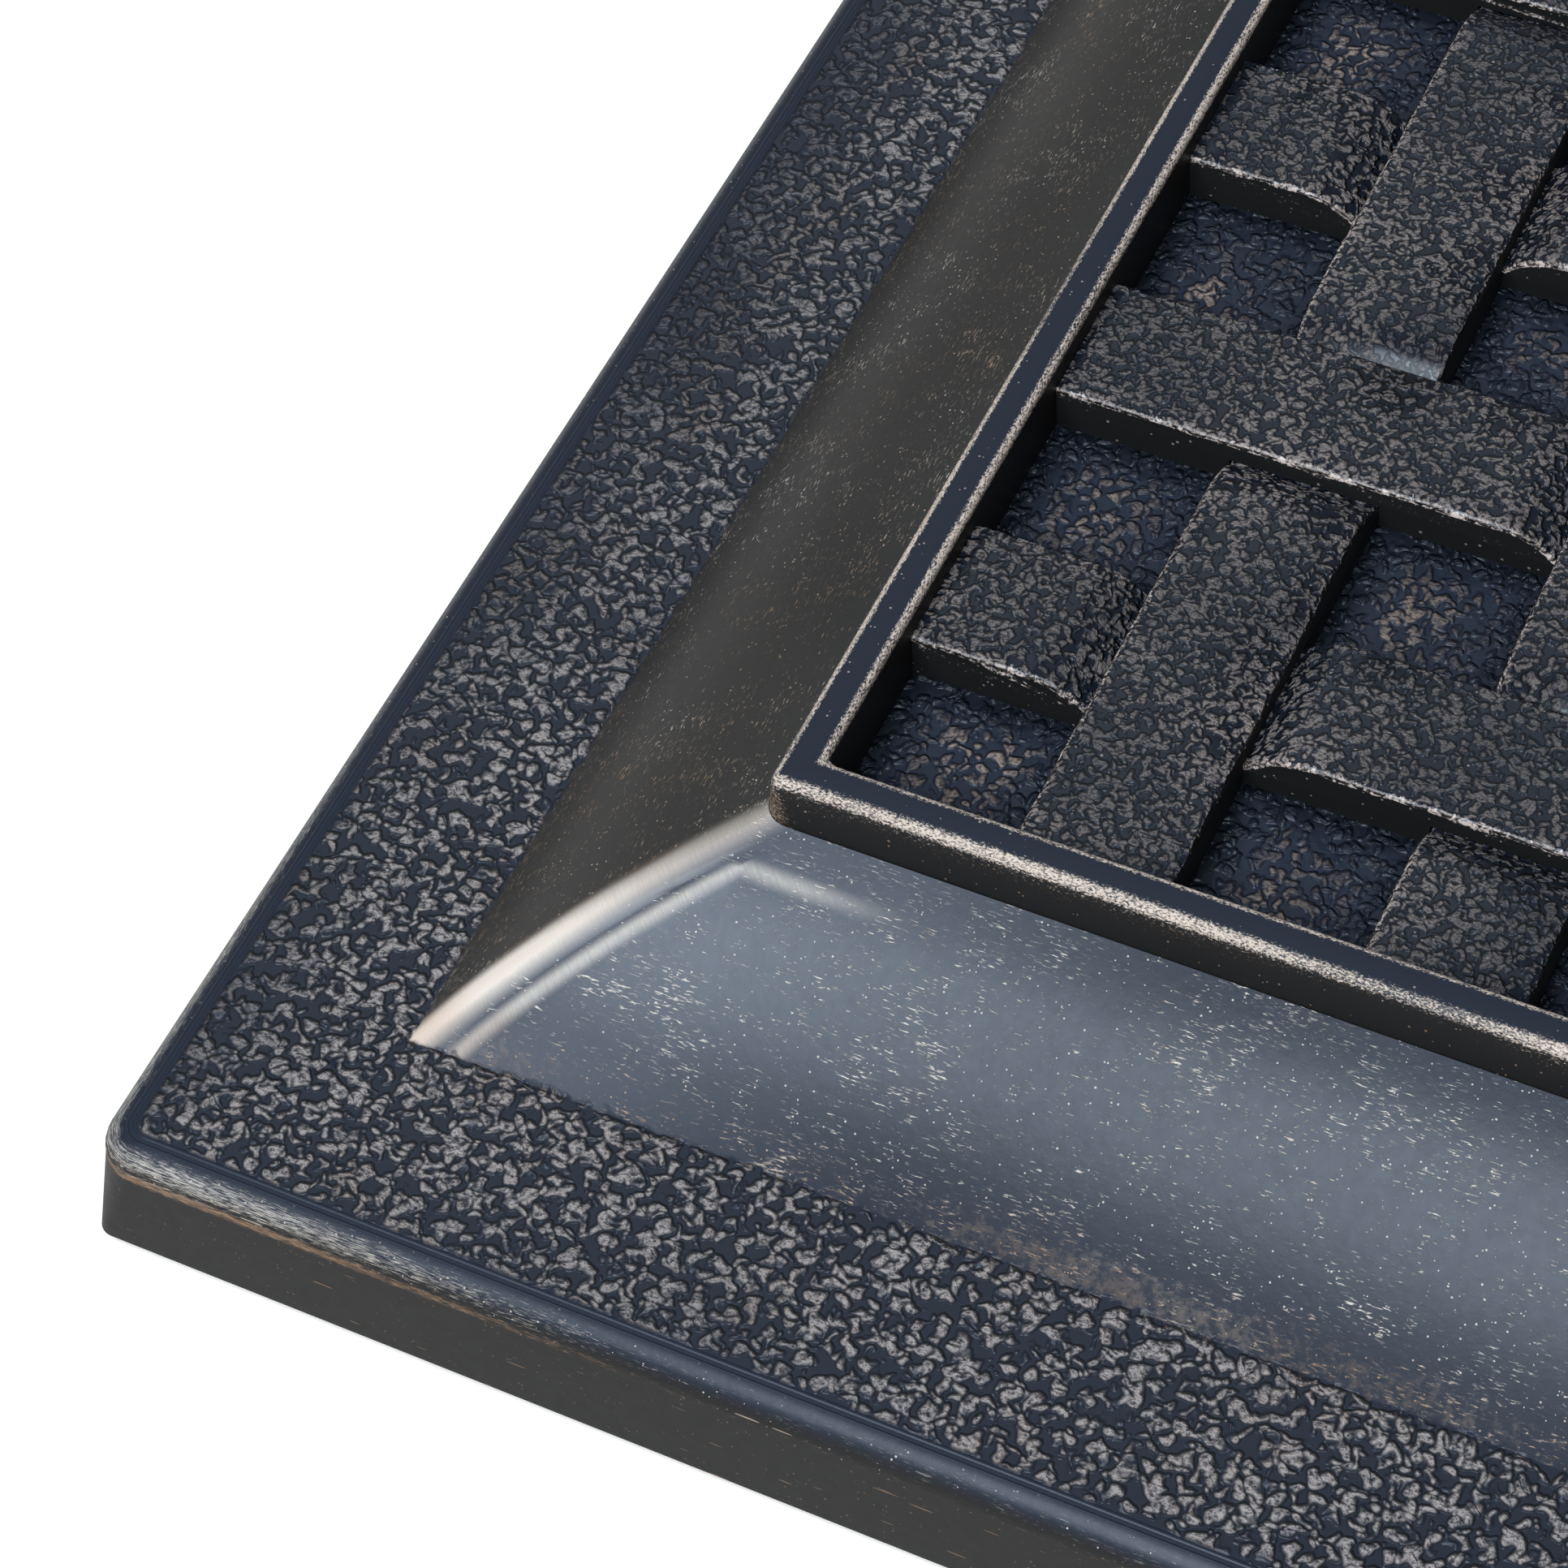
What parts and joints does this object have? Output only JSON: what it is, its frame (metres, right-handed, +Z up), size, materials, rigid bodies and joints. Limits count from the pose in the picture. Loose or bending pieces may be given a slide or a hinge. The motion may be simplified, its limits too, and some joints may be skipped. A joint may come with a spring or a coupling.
{
  "type": "door mat",
  "caption": "Rectangular moulded rubber door mat with a pebbled border, a sloping surround and a raised rim around a panel of woven flat strips.",
  "frame": {"origin": "on the ground under the middle of the mat", "axes": "+X along the long side, +Y along the short side, +Z up; the front left corner is at -X -Y"},
  "size_m": [0.76, 0.442, 0.0295],
  "materials": {
    "smooth_rubber": "satin moulded rubber with bronze rubbed on its edges",
    "grained_rubber": "pebble grained rubber, bronze rubbed on the grain",
    "grip_rubber": "plain matt rubber",
    "retainer_steel": "plain spring steel"
  },
  "bodies": {
    "root": {"border_frame": "smooth_rubber", "panel_tray": "grained_rubber", "rim_frame": "smooth_rubber", "rim_retainers": "retainer_steel", "grip_feet": "grip_rubber", "warp_strip_01": "grained_rubber", "warp_strip_02": "grained_rubber", "warp_strip_03": "grained_rubber", "warp_strip_04": "grained_rubber", "warp_strip_05": "grained_rubber", "warp_strip_06": "grained_rubber", "warp_strip_07": "grained_rubber", "warp_strip_08": "grained_rubber", "warp_strip_09": "grained_rubber", "warp_strip_10": "grained_rubber", "warp_strip_11": "grained_rubber", "warp_strip_12": "grained_rubber", "warp_strip_13": "grained_rubber", "warp_strip_14": "grained_rubber", "warp_strip_15": "grained_rubber", "warp_strip_16": "grained_rubber", "warp_strip_17": "grained_rubber", "warp_strip_18": "grained_rubber", "warp_strip_19": "grained_rubber", "warp_strip_20": "grained_rubber", "warp_strip_21": "grained_rubber", "warp_strip_22": "grained_rubber", "warp_strip_23": "grained_rubber", "warp_strip_24": "grained_rubber", "warp_strip_25": "grained_rubber", "weft_strip_01": "grained_rubber", "weft_strip_02": "grained_rubber", "weft_strip_03": "grained_rubber", "weft_strip_04": "grained_rubber", "weft_strip_05": "grained_rubber", "weft_strip_06": "grained_rubber", "weft_strip_07": "grained_rubber", "weft_strip_08": "grained_rubber", "weft_strip_09": "grained_rubber", "weft_strip_10": "grained_rubber", "weft_strip_11": "grained_rubber", "weft_strip_12": "grained_rubber", "weft_strip_13": "grained_rubber"}
  },
  "joints": []
}
